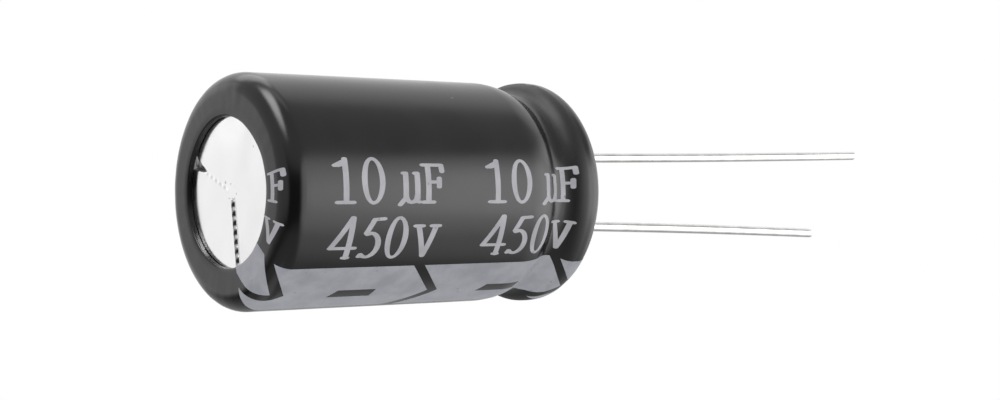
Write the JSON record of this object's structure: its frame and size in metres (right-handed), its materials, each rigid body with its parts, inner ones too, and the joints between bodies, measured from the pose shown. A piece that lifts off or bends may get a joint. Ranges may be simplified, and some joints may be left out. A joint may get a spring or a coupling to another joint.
{
  "type": "electrolytic capacitor",
  "caption": "Radial electrolytic capacitor: sleeved can with a crimped end, a recessed scored vent, a marked negative side and two splayed wire leads.",
  "frame": {"origin": "centre of the vent end, in the plane of the sleeve's resting ring", "axes": "+Z along the can's axis from the vent end to the leads; X through both leads, the positive lead at +X and the negative lead and its stripe at -X"},
  "size_m": [0.0131, 0.013, 0.0529],
  "materials": {
    "sleeve_film": "satin, dark charcoal shrink film",
    "stripe_ink": "matt grey-blue print on the film",
    "can_aluminium": "bright drawn aluminium",
    "seal_rubber": "matt black moulded rubber",
    "tinned_wire": "bright tinned wire",
    "tab_aluminium": "pressed aluminium",
    "anode_aluminium": "matt grey, etched and formed",
    "cathode_aluminium": "matt grey, etched",
    "separator_paper": "unbleached, soaked",
    "tape_film": "pale adhesive tape"
  },
  "bodies": {
    "root": {"sleeve": "sleeve_film", "polarity_stripe": "stripe_ink", "can": "can_aluminium", "seal": "seal_rubber", "positive_lead": "tinned_wire", "negative_lead": "tinned_wire", "positive_tab": "tab_aluminium", "negative_tab": "tab_aluminium", "anode_foil": "anode_aluminium", "cathode_foil": "cathode_aluminium", "inner_paper": "separator_paper", "outer_paper": "separator_paper", "closing_tape": "tape_film"}
  },
  "joints": []
}
